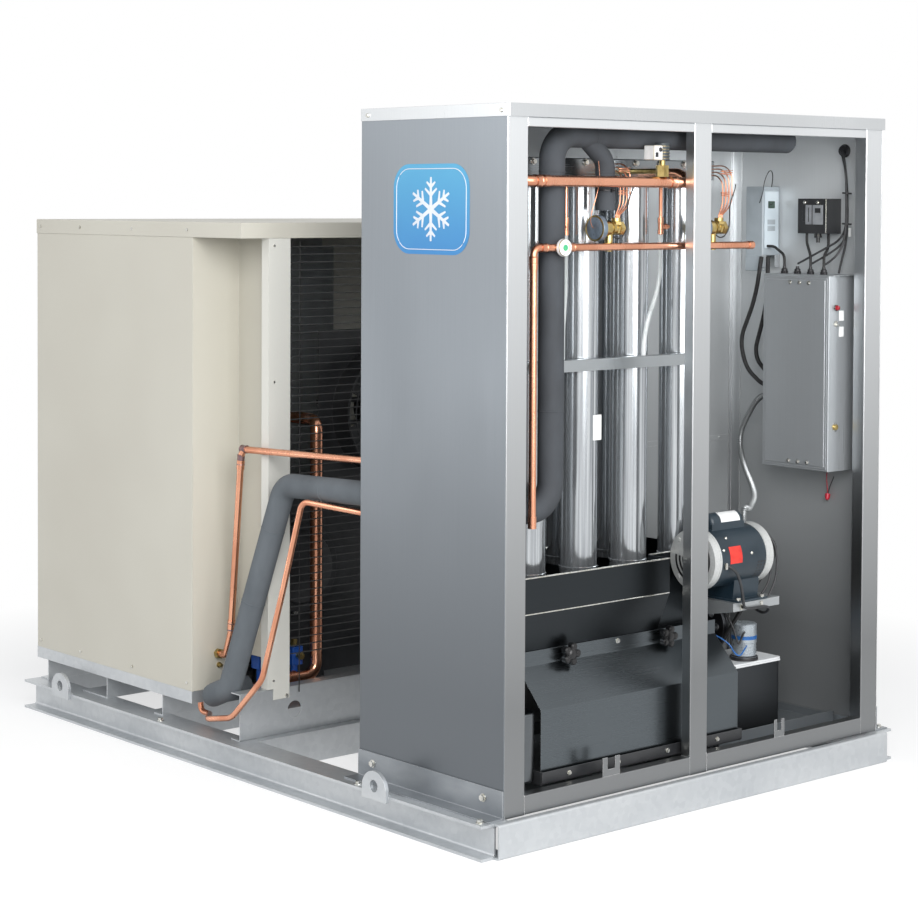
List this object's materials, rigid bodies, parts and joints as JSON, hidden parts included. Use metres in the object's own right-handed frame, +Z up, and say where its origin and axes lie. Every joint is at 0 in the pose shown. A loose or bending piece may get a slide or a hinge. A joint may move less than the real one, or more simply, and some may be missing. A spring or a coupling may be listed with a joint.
{
  "type": "ice machine",
  "caption": "Skid-mounted ice machine: open stainless cabinet with freezing tubes, cutter, motor and controls, piped to a painted condensing unit behind.",
  "frame": {"origin": "bounding box bottom centre, under the middle of the skid", "axes": "+X to the right seen from the open front, +Y from the open front to the condensing unit, +Z up"},
  "size_m": [1.82, 2.488, 2.094],
  "materials": {
    "galvanised": "dull zinc",
    "stainless": "mill finish",
    "insulation": "matt foam",
    "copper": "drawn copper",
    "brass": "machined",
    "clear_hose": "clear",
    "dark_steel": "semi-gloss black",
    "black_plastic": "moulded",
    "tan_paint": "satin",
    "rubber": "matt",
    "motor_blue": "satin",
    "cast_alloy": "cast",
    "tank_plastic": "moulded",
    "beige_paint": "satin",
    "zinc": "zinc plated",
    "grey_plastic": "moulded",
    "valve_blue": "satin"
  },
  "bodies": {
    "machine": {"back_panel": "stainless", "cabinet_frame": "stainless", "cabinet_lid": "stainless", "compressor": "dark_steel", "compressor_pipes": "copper", "condenser_coil": "cast_alloy", "control_cables": "rubber", "copper_lines": "copper", "copper_manifolds": "copper", "crusher_frame": "dark_steel", "cutter_bearings": "tan_paint", "cutter_hood": "stainless", "distributor_tubes": "copper", "drive_belt": "rubber", "electrical_enclosure": "stainless", "enclosure_fittings": "zinc", "evaporator_tubes": "stainless", "expansion_valves": "brass", "fan_shroud": "dark_steel", "fasteners": "zinc", "flexible_conduit": "cast_alloy", "floor_pan": "stainless", "hold_down_angles": "galvanised", "ice_hopper": "stainless", "left_panel": "stainless", "liquid_receiver": "dark_steel", "motor_body": "motor_blue", "motor_end_bells": "cast_alloy", "motor_shelf": "stainless", "pressure_control": "cast_alloy", "right_panel": "stainless", "service_valves": "valve_blue", "sight_glass": "brass", "skid_beam_left": "galvanised", "skid_beam_right": "galvanised", "skid_cross_members": "galvanised", "solenoid_valve": "brass", "suction_header": "insulation", "suction_line": "insulation", "sump_can": "black_plastic", "tank_lid": "stainless", "temperature_controller": "grey_plastic", "tube_cross_bar": "stainless", "unit_base": "beige_paint", "unit_corner_panel": "beige_paint", "unit_end_panels": "beige_paint", "unit_lid": "beige_paint", "unit_side_panel": "beige_paint", "water_distributor": "stainless", "water_hoses": "clear_hose", "water_pump": "black_plastic", "water_tank": "tank_plastic", "wire_guard": "zinc"},
    "motor_rotor": {"motor_pulley": "dark_steel"},
    "cutter": {"cutter_drum": "dark_steel"},
    "fan": {"condenser_fan": "black_plastic"},
    "toggle": {"toggle_lever": "zinc"},
    "button": {"push_button": "brass"},
    "knob_left": {"hood_knob_left": "black_plastic"},
    "knob_right": {"hood_knob_right": "black_plastic"}
  },
  "joints": [
    {"name": "motor_spin", "type": "hinge", "parent": "machine", "child": "motor_rotor", "pos_m": [0.412, -1.102, 0.725], "axis": [1, 0, 0], "continuous": true},
    {"name": "cutter_spin", "type": "hinge", "parent": "machine", "child": "cutter", "pos_m": [0.412, -0.855, 0.448], "axis": [1, 0, 0], "continuous": true},
    {"name": "fan_spin", "type": "hinge", "parent": "machine", "child": "fan", "pos_m": [0.06, 0.323, 1.08], "axis": [0, 1, 0], "continuous": true},
    {"name": "toggle_throw", "type": "hinge", "parent": "machine", "child": "toggle", "pos_m": [0.7087, -1.126, 1.43], "axis": [1, 0, 0], "range_deg": [-32, 0]},
    {"name": "button_press", "type": "slide", "parent": "machine", "child": "button", "axis": [0, 1, 0], "range_m": [0, 0.003], "stiffness_N_per_m": 400},
    {"name": "knob_left_turn", "type": "hinge", "parent": "machine", "child": "knob_left", "pos_m": [-0.413, -1.06, 0.492], "axis": [0, 1, 0], "continuous": true},
    {"name": "knob_right_turn", "type": "hinge", "parent": "machine", "child": "knob_right", "pos_m": [0.002, -1.06, 0.492], "axis": [0, 1, 0], "continuous": true}
  ],
  "couplings": [
    {"joint": "motor_spin", "follows": "cutter_spin", "ratio": 2.2286}
  ]
}
